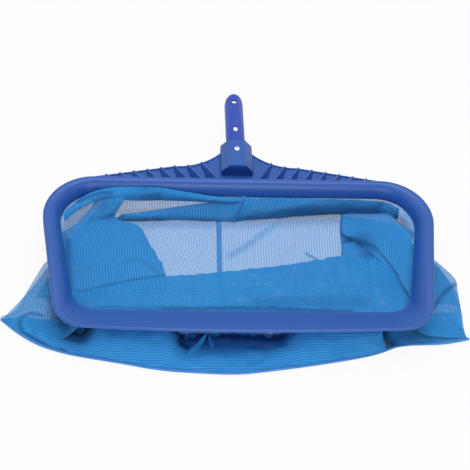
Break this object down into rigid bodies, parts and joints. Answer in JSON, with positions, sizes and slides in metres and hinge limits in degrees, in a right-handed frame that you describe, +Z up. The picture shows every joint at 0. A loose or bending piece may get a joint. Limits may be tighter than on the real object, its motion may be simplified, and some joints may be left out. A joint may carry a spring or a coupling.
{
  "type": "leaf skimmer net",
  "caption": "Wide moulded scoop ring with a ramped lip, a ribbed bridge, a riveted pole tongue and a deep mesh bag lying collapsed under it.",
  "frame": {"origin": "middle of the footprint's bounding box, on the floor that the bag lies on", "axes": "+X to the right across the scoop, +Y from the scooping lip to the handle tongue, +Z up out of the scoop's mouth"},
  "size_m": [0.574, 0.4124, 0.0589],
  "materials": {
    "frame_plastic": "satin moulded polypropylene, dark blue",
    "tongue_plastic": "satin moulded plastic, royal blue",
    "strip_plastic": "extruded flat strip, dark blue",
    "rivet_metal": "bright drawn aluminium",
    "net_mesh": "woven synthetic mesh, bright blue, see-through",
    "hem_webbing": "folded woven tape, stitched"
  },
  "bodies": {
    "root": {"scoop_ring": "frame_plastic", "handle_bridge": "frame_plastic", "handle_tongue": "tongue_plastic", "tongue_rivet": "rivet_metal", "rivet_washer": "rivet_metal", "hem_tape": "hem_webbing", "retaining_strip_top": "strip_plastic", "retaining_strip_lip": "strip_plastic", "retaining_strip_left": "strip_plastic", "retaining_strip_right": "strip_plastic", "net_left_half": "net_mesh", "net_right_half": "net_mesh", "back_centre_seam": "hem_webbing", "front_centre_seam": "hem_webbing", "bottom_seam_binding": "hem_webbing"}
  },
  "joints": []
}
